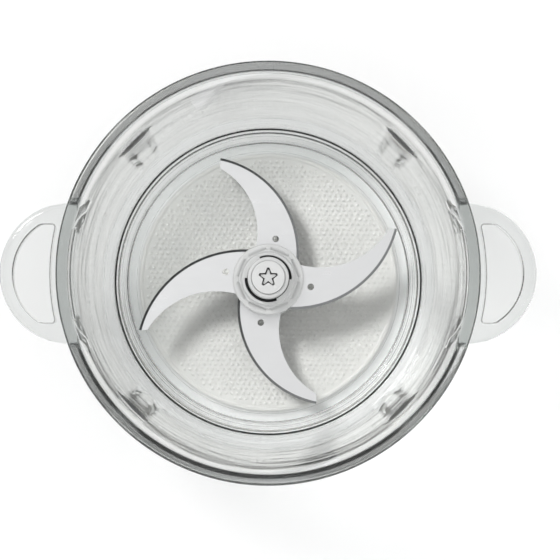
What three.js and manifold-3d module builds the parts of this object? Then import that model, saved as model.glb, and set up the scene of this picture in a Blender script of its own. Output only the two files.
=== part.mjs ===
// Glass bowl of a food processor with its lift-out blade unit.
// Millimetres, +Z up. The origin is on the bowl's axis, in the plane that the object stands on.

import * as THREE from "three";
import { mergeVertices } from "three/addons/utils/BufferGeometryUtils.js";
import Module from "manifold-3d";

const wasm = await Module();
wasm.setup();

// ---------------------------------------------------------------- driving dimensions

const GAP = 0.3; // clearance between pieces that bear on one another

// bowl
const RIM_R = 90; // outer radius of the rim
const RIM_INNER_R = 84.8;
const RIM_Z = 112; // height of the rim above the table
const FOOT_R = 69; // outer radius of the foot
const FOOT_Z = 1; // the foot ring stops this far above the table
const FLOOR_Z = 9; // inside floor
const RECESS_R = 61.2; // recess under the floor that holds the pad
const RECESS_Z = 3.4;
const WALL_FOOT_R = 70.5; // inside radius of the wall where it meets the floor's corner
const BOWL_SIDES = 60;
const HUB_SIDES = 36;

// boss in the middle of the floor, with the recess for the nut under it
const BOSS_R = 10;
const BOSS_Z = 15.5;
const NUT_RECESS_R = 8;
const NUT_RECESS_Z = 10.7;
const PIN_HOLE_R = 3.6;

// ribs inside the wall
const RIB_TOP_Z = 89;
const RIB_BOTTOM_Z = 43;
const RIB_TOP_WIDTH = 14.5;
const RIB_BOTTOM_WIDTH = 9;
const RIB_TOP_R = 81.1; // radius of the rib's face at its top
const RIB_BOTTOM_R = 74.7;
const RIB_DEPTH = 4;

// ears
const EAR_CENTRE_X = 84.5;
const EAR_R = 30;
const EAR_TOP_Z = 104;
const EAR_BOTTOM_Z = 88;
const EAR_PLATE = 5; // thickness of the ear's top over the finger pocket
const EAR_BORDER = 5; // width of the lip around the pocket
const EAR_POCKET_INNER_R = 93; // distance of the pocket's inner side from the bowl's axis

// non-slip pad
const PAD_R = 60;
const PAD_THICKNESS = 3.1;

// spindle pin and its fastening
const PIN_R = 4;
const PIN_TOP_Z = 50;
const PIN_FLANGE_R = 8.5;
const PIN_FLANGE_Z = 16.7;
const PIN_FLANGE_THICKNESS = 1.6;
const TAIL_R = 3;
const TAIL_END_Z = 3.8;
const GASKET_THICKNESS = 0.8;
const NUT_ACROSS_FLATS = 10;

// blade unit: the hub's column and what is stacked on it
const CORE_R = 9.2;
const CORE_FLAT = 8.3; // the two flats that key the stack to the column
const CORE_BORE_R = 7.8;
const CORE_BOTTOM_Z = 19.6;
const CORE_TOP_Z = 60;
const CORE_BORE_TOP_Z = 52.4;
const SOCKET_SEAT_Z = 54.2;
const SOCKET_R = 7.2;
const SOCKET_TOP_Z = 62;
const STAR_POINT_R = 4.3;
const STAR_VALLEY_R = 2.5;
const STAR_FLOOR_Z = 60;
const STAR_GROOVE = 0.7; // width of the groove that runs round the star's floor
const STAR_GROOVE_Z = 55.8;
const HUB_R = 15.8;
const SKIRT_INNER_R = 14.3;
const SKIRT_BOTTOM_Z = 10.6;
const WEB_BOTTOM_Z = 19.3;
const LOWER_BLADE_Z = 22;
const UPPER_BLADE_Z = 37.5;
const BLADE_THICKNESS = 1.5;
const BLADE_EYE_R = 15.2;
const BLADE_HOLE_R = 1.5;
const BLADE_HOLE_AT = 19.5;
const BLADE_HOLE_ANGLE = -10; // degrees from the root's axis
const UPPER_WING = {
  convex: { x: 11.1, y: 35.3, r: 48.9 }, // leading edge, which is ground
  concave: { x: 23.5, y: 41.8, r: 36.4 },
  tipY: 22.8,
};
const LOWER_WING = {
  convex: { x: 12.6, y: 30.6, r: 44.7 },
  concave: { x: 22.5, y: 38.2, r: 33.3 },
  tipY: 21.9,
};
const COLLAR_R = 16;
const OCTAGON_FLAT = 12.8; // from the axis to each flat of the collar's step
const COLLAR_FLANGE_Z = 42; // top of the round flange
const COLLAR_OCTAGON_Z = 44.6; // top of the octagonal step
const COLLAR_TOP_Z = 47;
const COLLAR_TOP_R = 11.8;
const SLOT_R = 10.6; // outer radius of the slot between column and collar
const SLOT_BOTTOM_Z = 44;
const LUG_ANGLE = 66; // degrees of each bayonet lug that bridges the slot
const LUG_CENTRE = 145; // direction of the first lug, the other lies opposite
const SCREW_CIRCLE_R = 11.7;
const SCREW_R = 1.3;
const SCREW_HOLE_R = 1.6;
const SCREW_HEAD_R = 2.4;
const SCREW_TOP_Z = 43;
const SCREW_ANGLES = [45, 135, 225, 315];

// ---------------------------------------------------------------- materials

const material = (color, roughness, metalness = 0) =>
  new THREE.MeshStandardMaterial({ color, roughness, metalness });

const glass = new THREE.MeshStandardMaterial({
  color: 0xd9e2de, roughness: 0.05, metalness: 0, transparent: true, opacity: 0.35,
});
const silicone = material(0xc9c8c2, 0.6);
const steel = material(0xb9bcbf, 0.25, 1);
const satinSteel = material(0xd2d5d6, 0.35, 1);
const whitePlastic = material(0xe6e7e6, 0.4);
const blackRubber = material(0x17181a, 0.7);
const clearRubber = material(0xd6d8d6, 0.5);
const blackPlastic = material(0x222426, 0.45);

// ---------------------------------------------------------------- geometry helpers

const radians = THREE.MathUtils.degToRad;

// A profile in the r-z plane, counter-clockwise, turned about Z into a closed surface.
function revolve(profile, sides = 24) {
  const points = profile.map(([r, z]) => new THREE.Vector2(r, z));
  const onAxis = points[0].x === 0 && points.at(-1).x === 0;
  if (!onAxis) points.push(points[0].clone());
  return new THREE.LatheGeometry(points, sides).rotateX(Math.PI / 2);
}

function disc(radius, bottom, top, sides = 24) {
  return revolve([[0, bottom], [radius, bottom], [radius, top], [0, top]], sides);
}

function ring(inner, outer, bottom, top, sides = 24) {
  return revolve([[inner, bottom], [outer, bottom], [outer, top], [inner, top]], sides);
}

function extrude(shape, bottom, top, curveSegments = 10) {
  const settings = { depth: top - bottom, bevelEnabled: false, curveSegments };
  return new THREE.ExtrudeGeometry(shape, settings).translate(0, 0, bottom);
}

function solid(geometry) {
  const bare = geometry.clone();
  bare.deleteAttribute("normal");
  bare.deleteAttribute("uv");
  const merged = mergeVertices(bare, 1e-4);
  const triangles = [];
  const index = merged.index.array;
  for (let i = 0; i < index.length; i += 3) {
    const [a, b, c] = index.slice(i, i + 3);
    if (a !== b && b !== c && c !== a) triangles.push(a, b, c);
  }
  return new wasm.Manifold(new wasm.Mesh({
    numProp: 3,
    vertProperties: Float32Array.from(merged.attributes.position.array),
    triVerts: Uint32Array.from(triangles),
  }));
}

function geometryOf(manifold) {
  const mesh = manifold.getMesh();
  const geometry = new THREE.BufferGeometry();
  geometry.setAttribute("position", new THREE.BufferAttribute(mesh.vertProperties, 3));
  geometry.setIndex(new THREE.BufferAttribute(mesh.triVerts, 1));
  geometry.computeVertexNormals();
  return geometry;
}

const turned = (geometry, degrees) => geometry.clone().rotateZ(radians(degrees));

// The column's section: a round bar with two flats, so that nothing on it can turn.
function keyedBar(radius, flat, bottom, top) {
  const depth = top - bottom;
  const box = new THREE.BoxGeometry(4 * radius, 2 * flat, depth);
  const bar = solid(disc(radius, bottom, top, HUB_SIDES));
  return bar.intersect(solid(box.translate(0, 0, bottom + depth / 2)));
}

// Removes the four screw holes and the keyed bore from a piece of the stack.
function stackHoles(body, bottom, top, screwTop = top) {
  const bore = keyedBar(CORE_R + GAP, CORE_FLAT + GAP, bottom - 1, top + 1);
  let cut = body.subtract(bore);
  for (const degrees of SCREW_ANGLES) {
    const hole = disc(SCREW_HOLE_R, bottom - 1, screwTop, 10).translate(SCREW_CIRCLE_R, 0, 0);
    cut = cut.subtract(solid(turned(hole, degrees)));
  }
  return cut;
}

// ---------------------------------------------------------------- bowl

// Outside from the pad's recess up to the rim, over the rim, and down the inside to the boss.
function bowlProfile() {
  const path = new THREE.Path();
  path.moveTo(RECESS_R + 1, FOOT_Z);
  path.lineTo(FOOT_R - 3.2, FOOT_Z);
  path.quadraticCurveTo(FOOT_R + 0.4, FOOT_Z, FOOT_R + 1.6, FOOT_Z + 3.4);
  path.quadraticCurveTo(FOOT_R + 4.4, FLOOR_Z + 1.5, FOOT_R + 6.6, FLOOR_Z + 12);
  path.quadraticCurveTo(82.6, 62, 87.2, RIM_Z - 13);
  path.lineTo(RIM_R, RIM_Z - 10);
  path.lineTo(RIM_R, RIM_Z - 1.6);
  path.quadraticCurveTo(RIM_R, RIM_Z, RIM_R - 1.6, RIM_Z);
  path.lineTo(RIM_INNER_R + 1.2, RIM_Z);
  path.quadraticCurveTo(RIM_INNER_R, RIM_Z, RIM_INNER_R, RIM_Z - 1.4);
  path.lineTo(83.6, RIM_Z - 12);
  path.quadraticCurveTo(78.6, 62, WALL_FOOT_R + 1, FLOOR_Z + 10);
  path.quadraticCurveTo(WALL_FOOT_R - 1, FLOOR_Z, WALL_FOOT_R - 8, FLOOR_Z);
  path.lineTo(BOSS_R + 4, FLOOR_Z);
  path.quadraticCurveTo(BOSS_R + 1, FLOOR_Z, BOSS_R + 0.6, FLOOR_Z + 3);
  path.lineTo(BOSS_R, BOSS_Z);
  path.lineTo(PIN_HOLE_R, BOSS_Z);
  path.lineTo(PIN_HOLE_R, NUT_RECESS_Z);
  path.lineTo(NUT_RECESS_R, NUT_RECESS_Z);
  path.lineTo(NUT_RECESS_R, RECESS_Z);
  path.lineTo(RECESS_R, RECESS_Z);
  path.lineTo(RECESS_R, FOOT_Z + 1);
  return path.getPoints(3).map((p) => [p.x, p.y]);
}

// A keystone plate that leans with the wall, proud of it at the top and lost in it at the foot.
function rib() {
  const height = RIB_TOP_Z - RIB_BOTTOM_Z;
  const top = RIB_TOP_WIDTH / 2;
  const bottom = RIB_BOTTOM_WIDTH / 2;
  const corner = 3.5;
  const outline = new THREE.Shape();
  outline.moveTo(-bottom, 0);
  outline.lineTo(bottom, 0);
  outline.lineTo(top, height - corner);
  outline.quadraticCurveTo(top, height, top - corner, height);
  outline.lineTo(corner - top, height);
  outline.quadraticCurveTo(-top, height, -top, height - corner);
  outline.closePath();
  const along = new THREE.Vector3(0, 1, 0);
  const up = new THREE.Vector3(RIB_TOP_R - RIB_BOTTOM_R, 0, height).normalize();
  const outward = along.clone().cross(up);
  const place = new THREE.Matrix4().makeBasis(along, up, outward);
  place.setPosition(RIB_BOTTOM_R, 0, RIB_BOTTOM_Z);
  return extrude(outline, 0, RIB_DEPTH, 3).applyMatrix4(place);
}

// A D-shaped handle, a plate with a deep lip around it that leaves a pocket for the fingers.
function ear() {
  const outline = new THREE.Shape();
  outline.moveTo(EAR_CENTRE_X - 10, -EAR_R);
  outline.lineTo(EAR_CENTRE_X, -EAR_R);
  outline.absarc(EAR_CENTRE_X, 0, EAR_R, -Math.PI / 2, Math.PI / 2);
  outline.lineTo(EAR_CENTRE_X - 10, EAR_R);
  outline.closePath();

  const pocketR = EAR_R - EAR_BORDER;
  const halfWidth = 22.5;
  const side = Math.asin(halfWidth / EAR_POCKET_INNER_R);
  const end = Math.asin(halfWidth / pocketR);
  const pocket = new THREE.Shape();
  pocket.absarc(EAR_CENTRE_X, 0, pocketR, -end, end);
  pocket.absarc(0, 0, EAR_POCKET_INNER_R, side, -side, true);
  pocket.closePath();

  const inside = disc(RIM_INNER_R + 0.6, 0, RIM_Z, BOWL_SIDES);
  return solid(extrude(outline, EAR_BOTTOM_Z, EAR_TOP_Z, 16))
    .subtract(solid(extrude(pocket, EAR_BOTTOM_Z - 1, EAR_TOP_Z - EAR_PLATE, 12)))
    .subtract(solid(inside));
}

function bowl() {
  let body = solid(revolve(bowlProfile(), BOWL_SIDES));
  for (const degrees of [45, 135, 225, 315]) body = body.add(solid(turned(rib(), degrees)));
  const rightEar = ear();
  return geometryOf(body.add(rightEar).add(rightEar.rotate([0, 0, 180])));
}

// ---------------------------------------------------------------- spindle pin and fastening

function spindlePin() {
  const flangeTop = PIN_FLANGE_Z + PIN_FLANGE_THICKNESS;
  return revolve([
    [0, TAIL_END_Z], [TAIL_R - 0.5, TAIL_END_Z], [TAIL_R, TAIL_END_Z + 0.5], [TAIL_R, PIN_FLANGE_Z],
    [PIN_FLANGE_R, PIN_FLANGE_Z], [PIN_FLANGE_R, flangeTop - 0.4], [PIN_FLANGE_R - 0.4, flangeTop],
    [PIN_R, flangeTop], [PIN_R, PIN_TOP_Z - 2.4], [PIN_R * 0.8, PIN_TOP_Z - 0.9],
    [PIN_R * 0.4, PIN_TOP_Z - 0.15], [0, PIN_TOP_Z],
  ]);
}

// A spring washer: a flat ring cut through once on the slant.
function lockWasher(bottom, top) {
  const slit = new THREE.BoxGeometry(6, 0.8, 6).rotateX(radians(35));
  slit.translate(TAIL_R + 2.5, 0, (bottom + top) / 2);
  return geometryOf(solid(ring(TAIL_R + GAP, 5.2, bottom, top)).subtract(solid(slit)));
}

function nut(bottom, top) {
  const outline = new THREE.Shape();
  const cornerR = NUT_ACROSS_FLATS / Math.sqrt(3);
  for (let i = 0; i < 6; i += 1) {
    const angle = radians(60 * i);
    if (i === 0) outline.moveTo(cornerR, 0);
    else outline.lineTo(cornerR * Math.cos(angle), cornerR * Math.sin(angle));
  }
  outline.closePath();
  outline.holes.push(new THREE.Path().absarc(0, 0, TAIL_R + GAP, 0, 2 * Math.PI, true));
  return extrude(outline, bottom, top, 12);
}

// ---------------------------------------------------------------- blade unit

// The foot of the hub: a web that carries the stack, and a skirt that hides the boss.
function hubBase() {
  const top = LOWER_BLADE_Z - GAP;
  const body = solid(revolve([
    [0, WEB_BOTTOM_Z], [SKIRT_INNER_R, WEB_BOTTOM_Z], [SKIRT_INNER_R, SKIRT_BOTTOM_Z],
    [HUB_R - 0.4, SKIRT_BOTTOM_Z], [HUB_R, SKIRT_BOTTOM_Z + 0.4], [HUB_R, top], [0, top],
  ], HUB_SIDES));
  return geometryOf(stackHoles(body, WEB_BOTTOM_Z, top));
}

function hubCore() {
  const keyed = keyedBar(CORE_R, CORE_FLAT, CORE_BOTTOM_Z, SLOT_BOTTOM_Z);
  const round = solid(revolve([
    [0, SLOT_BOTTOM_Z - 1], [CORE_R, SLOT_BOTTOM_Z - 1], [CORE_R, CORE_TOP_Z - 0.8],
    [CORE_R - 0.8, CORE_TOP_Z], [0, CORE_TOP_Z],
  ], HUB_SIDES)).subtract(solid(disc(2 * CORE_R, 0, SLOT_BOTTOM_Z, 8)));
  const bore = solid(disc(CORE_BORE_R, CORE_BOTTOM_Z - 1, CORE_BORE_TOP_Z, HUB_SIDES));
  const seat = solid(disc(SOCKET_R + GAP, SOCKET_SEAT_Z, CORE_TOP_Z + 1, HUB_SIDES));
  return geometryOf(keyed.add(round).subtract(bore).subtract(seat));
}

// A blunt five-pointed star, drawn in all round by inset.
function starShape(inset) {
  const star = new THREE.Shape();
  const points = 5;
  const blunt = radians(7);
  for (let i = 0; i < points; i += 1) {
    const tip = radians(90 + (360 / points) * i);
    const valley = tip + Math.PI / points;
    const pointR = STAR_POINT_R - inset;
    const valleyR = STAR_VALLEY_R - inset;
    for (const [r, angle] of [
      [pointR, tip - blunt], [pointR, tip + blunt],
      [valleyR, valley - blunt], [valleyR, valley + blunt],
    ]) {
      const x = r * Math.cos(angle);
      const y = r * Math.sin(angle);
      if (star.currentPoint.lengthSq() === 0) star.moveTo(x, y);
      else star.lineTo(x, y);
    }
  }
  star.closePath();
  return star;
}

// The insert that the drive shaft enters. Its star has a shallow floor with a deep groove round it.
function driveSocket() {
  const bottom = SOCKET_SEAT_Z + GAP;
  const body = solid(revolve([
    [0, bottom], [SOCKET_R, bottom], [SOCKET_R, SOCKET_TOP_Z - 0.6],
    [SOCKET_R - 0.6, SOCKET_TOP_Z], [0, SOCKET_TOP_Z],
  ], HUB_SIDES));
  const hole = solid(extrude(starShape(0), STAR_GROOVE_Z, SOCKET_TOP_Z + 1));
  const floor = solid(extrude(starShape(STAR_GROOVE), STAR_GROOVE_Z - 1, STAR_FLOOR_Z));
  return geometryOf(body.subtract(hole).add(floor));
}

// One wing lies between two arcs and ends in a blunt tip cut along its root's axis.
function wingShape({ convex, concave, tipY }) {
  const angleAt = (arc, y, side) => Math.atan2(y - arc.y, side * Math.sqrt(arc.r ** 2 - (y - arc.y) ** 2));
  const rootAngle = (arc, x) => -Math.acos((x - arc.x) / arc.r);
  const shape = new THREE.Shape();
  shape.absarc(convex.x, convex.y, convex.r, rootAngle(convex, 4), angleAt(convex, tipY, 1));
  shape.absarc(concave.x, concave.y, concave.r, angleAt(concave, tipY, 1), rootAngle(concave, 12), true);
  shape.closePath();
  return shape;
}


// A blade is one stamping: a round eye with two wings opposite each other.
function blade(wing, bottom, turn) {
  const top = bottom + BLADE_THICKNESS;
  let body = solid(disc(BLADE_EYE_R, bottom, top, HUB_SIDES));
  for (const degrees of [turn, turn + 180]) {
    body = body.add(solid(turned(extrude(wingShape(wing), bottom, top, 14), degrees)));
    const hole = disc(BLADE_HOLE_R, bottom - 1, top + 1, 12).translate(BLADE_HOLE_AT, 0, 0);
    body = body.subtract(solid(turned(hole, degrees + BLADE_HOLE_ANGLE)));
  }
  return geometryOf(stackHoles(body, bottom, top));
}

function bladeSpacer() {
  const bottom = LOWER_BLADE_Z + BLADE_THICKNESS + GAP;
  const top = UPPER_BLADE_Z - GAP;
  return geometryOf(stackHoles(solid(disc(HUB_R, bottom, top, HUB_SIDES)), bottom, top));
}

// Flange, octagonal step and cone, with a slot around the column that two bayonet lugs bridge.
function hubCollar() {
  const bottom = UPPER_BLADE_Z + BLADE_THICKNESS + GAP;
  const flange = solid(revolve([
    [0, bottom], [COLLAR_R, bottom], [COLLAR_R, COLLAR_FLANGE_Z - 0.6],
    [COLLAR_R - 0.6, COLLAR_FLANGE_Z], [0, COLLAR_FLANGE_Z],
  ], HUB_SIDES));
  const octagonR = OCTAGON_FLAT / Math.cos(Math.PI / 8);
  const octagon = turned(disc(octagonR, COLLAR_FLANGE_Z - 1, COLLAR_OCTAGON_Z, 8), 22.5);
  const cone = solid(revolve([
    [0, COLLAR_OCTAGON_Z - 1], [OCTAGON_FLAT - 0.4, COLLAR_OCTAGON_Z - 1],
    [OCTAGON_FLAT - 0.4, COLLAR_OCTAGON_Z],
    [COLLAR_TOP_R, COLLAR_TOP_Z], [0, COLLAR_TOP_Z],
  ], HUB_SIDES));
  const slot = solid(disc(SLOT_R, SLOT_BOTTOM_Z, COLLAR_TOP_Z + 1, HUB_SIDES));
  let body = stackHoles(flange.add(solid(octagon)).add(cone), bottom, SLOT_BOTTOM_Z, SCREW_TOP_Z + GAP);
  body = body.subtract(slot);
  for (const degrees of [LUG_CENTRE, LUG_CENTRE + 180]) {
    const lug = new THREE.Shape();
    const half = radians(LUG_ANGLE / 2);
    lug.absarc(0, 0, SLOT_R + 0.4, -half, half);
    lug.absarc(0, 0, CORE_R + GAP, half, -half, true);
    lug.closePath();
    body = body.add(solid(turned(extrude(lug, COLLAR_TOP_Z - 1.2, COLLAR_TOP_Z, 10), degrees)));
  }
  return geometryOf(body);
}

// Shank and pan head, driven in from below.
function clampScrew() {
  return revolve([
    [0, WEB_BOTTOM_Z - 1.4], [SCREW_HEAD_R - 0.4, WEB_BOTTOM_Z - 1.4], [SCREW_HEAD_R, WEB_BOTTOM_Z - 1],
    [SCREW_HEAD_R, WEB_BOTTOM_Z - 0.1], [SCREW_R, WEB_BOTTOM_Z - 0.1], [SCREW_R, SCREW_TOP_Z - 1],
    [0.4, SCREW_TOP_Z], [0, SCREW_TOP_Z],
  ], 12).translate(SCREW_CIRCLE_R, 0, 0);
}

// ---------------------------------------------------------------- assembly

const object = new THREE.Group();

function place(name, geometry, surface) {
  const mesh = new THREE.Mesh(geometry, surface);
  mesh.name = name;
  object.add(mesh);
}

const bushR = CORE_BORE_R - GAP;
const bushInnerR = PIN_R + 0.25;
const tailHoleR = TAIL_R + GAP;
const gasketZ = BOSS_Z + 0.2;
const sealZ = SLOT_BOTTOM_Z + 0.2;

place("bowl", bowl(), glass);
place("non_slip_pad", disc(PAD_R, 0, PAD_THICKNESS, BOWL_SIDES), silicone);
place("spindle_pin", spindlePin(), steel);
place("pin_gasket_upper", ring(tailHoleR, PIN_FLANGE_R, gasketZ, gasketZ + GASKET_THICKNESS), clearRubber);
place("pin_gasket_lower", ring(tailHoleR, 7, 9.7, 9.7 + GASKET_THICKNESS), clearRubber);
place("pin_washer", ring(tailHoleR, 6.6, 8.6, 9.5), steel);
place("pin_lock_washer", lockWasher(7.3, 8.4), steel);
place("pin_nut", nut(4.2, 7.1), steel);

place("thrust_pad", disc(bushR, PIN_TOP_Z + GAP, CORE_BORE_TOP_Z - GAP), steel);

place("hub_base", hubBase(), whitePlastic);
place("foot_seal", ring(bushInnerR, bushR, CORE_BOTTOM_Z, 20.9), blackRubber);
place("lower_bush", ring(bushInnerR, bushR, 21.2, 31), blackPlastic);
place("upper_bush", ring(bushInnerR, bushR, 42, PIN_TOP_Z), blackPlastic);
place("hub_core", hubCore(), whitePlastic);
place("lower_blade", blade(LOWER_WING, LOWER_BLADE_Z, 90), satinSteel);
place("blade_spacer", bladeSpacer(), whitePlastic);
place("upper_blade", blade(UPPER_WING, UPPER_BLADE_Z, 0), satinSteel);
place("hub_collar", hubCollar(), whitePlastic);
place("hub_seal", ring(CORE_R + 0.25, SLOT_R - 0.2, sealZ, sealZ + 1.2, HUB_SIDES), blackRubber);
place("drive_socket", driveSocket(), whitePlastic);
SCREW_ANGLES.forEach((degrees, i) => {
  place(`clamp_screw_${i + 1}`, turned(clampScrew(), degrees), steel);
});

export default object;
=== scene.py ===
import math

import bpy
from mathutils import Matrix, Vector


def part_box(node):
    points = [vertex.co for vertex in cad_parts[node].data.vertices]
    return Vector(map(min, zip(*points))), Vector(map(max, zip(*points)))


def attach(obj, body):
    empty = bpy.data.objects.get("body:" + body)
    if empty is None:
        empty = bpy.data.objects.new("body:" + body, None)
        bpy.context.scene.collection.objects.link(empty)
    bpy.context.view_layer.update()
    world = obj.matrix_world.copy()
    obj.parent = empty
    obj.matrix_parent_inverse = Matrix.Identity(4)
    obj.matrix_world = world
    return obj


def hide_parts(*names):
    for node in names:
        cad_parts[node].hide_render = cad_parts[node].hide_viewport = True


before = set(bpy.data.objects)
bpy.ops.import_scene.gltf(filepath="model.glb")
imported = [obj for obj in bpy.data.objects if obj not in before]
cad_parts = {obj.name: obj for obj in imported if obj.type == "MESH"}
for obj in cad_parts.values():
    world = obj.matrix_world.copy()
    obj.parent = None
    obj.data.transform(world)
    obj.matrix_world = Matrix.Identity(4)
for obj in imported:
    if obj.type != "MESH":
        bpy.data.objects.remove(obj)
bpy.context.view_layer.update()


# ---------------------------------------------------------------- studio
# A white table top that runs out of sight, a white surround that dims towards the horizon and more so
# to the north and west, and one broad lamp from the upper left that throws the soft shadows.

MM = 0.001


class Socket:
    """An output of a node. Sums that are written with it add Math nodes to the same tree."""

    def __init__(self, output):
        self.output = output

    def maths(self, operation, a, b=0.0):
        return add_node(self.output.id_data, "ShaderNodeMath", {"operation": operation}, {0: a, 1: b})

    def __add__(self, other):
        return self.maths("ADD", self, other)

    def __radd__(self, other):
        return self.maths("ADD", other, self)

    def __sub__(self, other):
        return self.maths("SUBTRACT", self, other)

    def __rsub__(self, other):
        return self.maths("SUBTRACT", other, self)

    def __mul__(self, other):
        return self.maths("MULTIPLY", self, other)

    def __rmul__(self, other):
        return self.maths("MULTIPLY", other, self)

    def __truediv__(self, other):
        return self.maths("DIVIDE", self, other)

    def __pow__(self, other):
        return self.maths("POWER", self, other)


def add_node(tree, kind, settings=None, inputs=None, out=0):
    """Adds a node, sets it up, fills or links its inputs and returns one of its outputs."""
    node = tree.nodes.new(kind)
    for key, value in (settings or {}).items():
        if key == "stops":
            while len(node.color_ramp.elements) < len(value):
                node.color_ramp.elements.new(0.5)
            for element, (place, shade) in zip(node.color_ramp.elements, value):
                element.position = place
                element.color = (shade, shade, shade, 1) if isinstance(shade, float) else (*shade, 1)
        else:
            setattr(node, key, value)
    for key, value in (inputs or {}).items():
        if isinstance(value, Socket):
            tree.links.new(value.output, node.inputs[key])
        else:
            node.inputs[key].default_value = value
    return Socket(node.outputs[out])


def finish_material(name, **shader):
    """A new Principled material. Numbers and colours go on the shader's own sockets."""
    material = bpy.data.materials.new(name)
    material.use_nodes = True
    principled = material.node_tree.nodes["Principled BSDF"]
    for key, value in shader.items():
        principled.inputs[key.replace("_", " ").title().replace("Ior", "IOR")].default_value = value
    return material, material.node_tree, principled


def feed(tree, principled, **links):
    """Links what changes over the surface to the shader."""
    for key, value in links.items():
        tree.links.new(value.output, principled.inputs[key.replace("_", " ").title()])


def ramp(tree, value, *stops):
    """A Color Ramp on a value. Each stop is a place and a grey or a colour."""
    return add_node(tree, "ShaderNodeValToRGB", {"stops": stops}, {"Fac": value})


def split(tree, vector):
    """The x, y and z of a vector."""
    separate = add_node(tree, "ShaderNodeSeparateXYZ", {}, {"Vector": vector}).output.node
    return [Socket(output) for output in separate.outputs]


def object_place(tree):
    """Where a point of the surface lies on its piece."""
    return add_node(tree, "ShaderNodeTexCoord", out=3)


def speckle(tree, place, scale, detail=2.0):
    """Cloudy noise, finer as the scale grows."""
    return add_node(tree, "ShaderNodeTexNoise", {}, {"Vector": place, "Scale": scale, "Detail": detail})


def relief(tree, height, strength, distance):
    """A Bump that stands for marks too fine to model."""
    return add_node(
        tree, "ShaderNodeBump", {}, {"Strength": strength, "Distance": distance, "Height": height}
    )


TABLE_SIZE = 6

bpy.ops.object.select_all(action="DESELECT")
bpy.ops.mesh.primitive_plane_add(size=TABLE_SIZE)
table_top = bpy.context.object
table_top.name = "table_top"
table_white, _, _ = finish_material("table_white", base_color=(0.98, 0.98, 0.98, 1), roughness=0.6)
table_top.data.materials.append(table_white)

world = bpy.data.worlds.new("studio")
world.use_nodes = True
bpy.context.scene.world = world
tree = world.node_tree
background = tree.nodes["Background"]
towards = add_node(tree, "ShaderNodeTexCoord")
east, north, up = split(tree, towards)
SURROUND_LEAN = 0.22  # how far the surround's bright part reaches down to the east and to the south
raised = up + east * SURROUND_LEAN - north * SURROUND_LEAN - 0.01
sky = ramp(tree, raised, (0.0, 0.05), (0.15, 0.24), (0.36, 0.76), (0.66, 0.90))
tree.links.new(sky.output, background.inputs["Color"])
background.inputs["Strength"].default_value = 1.06

LAMP_FROM = Vector((-0.65, 0.56, 1.60))
lamp_data = bpy.data.lights.new("key_lamp", "AREA")
lamp_data.shape = "DISK"
lamp_data.size = 0.38
lamp_data.energy = 9.6
lamp = bpy.data.objects.new("key_lamp", lamp_data)
lamp.location = LAMP_FROM
lamp.rotation_euler = (-LAMP_FROM).to_track_quat("-Z", "Y").to_euler()
bpy.context.scene.collection.objects.link(lamp)

# The camera hangs over the bowl, a little towards the front.
CAMERA_ABOVE_RIM = 1.03
CAMERA_FORWARD = 0.045
CAMERA_TILT = 2.321
CAMERA_LEAN = -0.276
VIEW_WIDTH_AT_RIM = 0.2362
rim_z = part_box("bowl")[1].z
SENSOR_WIDTH = 36
camera_data = bpy.data.cameras.new("camera")
camera_data.sensor_width = SENSOR_WIDTH
camera_data.lens = SENSOR_WIDTH * CAMERA_ABOVE_RIM / VIEW_WIDTH_AT_RIM
camera = bpy.data.objects.new("camera", camera_data)
camera.location = (0, -CAMERA_FORWARD, rim_z + CAMERA_ABOVE_RIM)
camera.rotation_euler = (math.radians(CAMERA_TILT), math.radians(CAMERA_LEAN), 0)
bpy.context.scene.collection.objects.link(camera)
bpy.context.scene.camera = camera
bpy.context.scene.view_settings.view_transform = "Standard"


# ---------------------------------------------------------------- bowl
# One pressing of clear soda glass: a tapering wall with a thick flat rim, a floor with a boss for the
# spindle, a foot ring, four keystone ribs inside and two hollow ears. Thick glass looks grey-green.

RIB_ANGLES = (45, 135, 225, 315)
RIB_SECTOR = 18  # degrees of the wall around each rib that are spun in fine steps
FINE_STEPS = 56
PLAIN_STEPS = 48
RIB_TOP = 89 * MM
RIB_FOOT = 42 * MM
RIB_TOP_HALF = 7.25 * MM
RIB_FOOT_HALF = 4.5 * MM
RIB_FLANK = 1.2 * MM
RIB_SHOULDER = 1.6 * MM
RIB_FACE_TOP = 81.4 * MM  # distance of the rib's face from the axis, at its top and at its foot
RIB_FACE_FOOT = 74.0 * MM
EAR_CENTRE = 84.5 * MM
EAR_R = 30 * MM
EAR_TOP = 104 * MM
EAR_LOW = 88 * MM
EAR_ROOT_R = 85.2 * MM
WALL_BY_EAR_R = 86.5 * MM
EAR_FILLET = 5 * MM
EAR_ROUNDING = 1.8 * MM
POCKET_TOP = 99 * MM
POCKET_R = 25 * MM
POCKET_ROOT_R = 93 * MM
POCKET_HALF = 21.5 * MM
POCKET_CORNER = 2 * MM
POCKET_ROUNDING = 0.6 * MM


def arc(x, y, radius, start, end, steps=24):
    """Points along an arc, angles in degrees."""
    angles = [math.radians(start + (end - start) * k / steps) for k in range(steps + 1)]
    return [Vector((x + radius * math.cos(a), y + radius * math.sin(a))) for a in angles]


def bend(start, pull, end, steps):
    """Points along a smooth bend from start to end that is drawn towards pull."""
    start, pull, end = Vector(start), Vector(pull), Vector(end)
    shares = [k / steps for k in range(steps + 1)]
    return [start * (1 - t) ** 2 + pull * 2 * t * (1 - t) + end * t ** 2 for t in shares]


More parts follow.
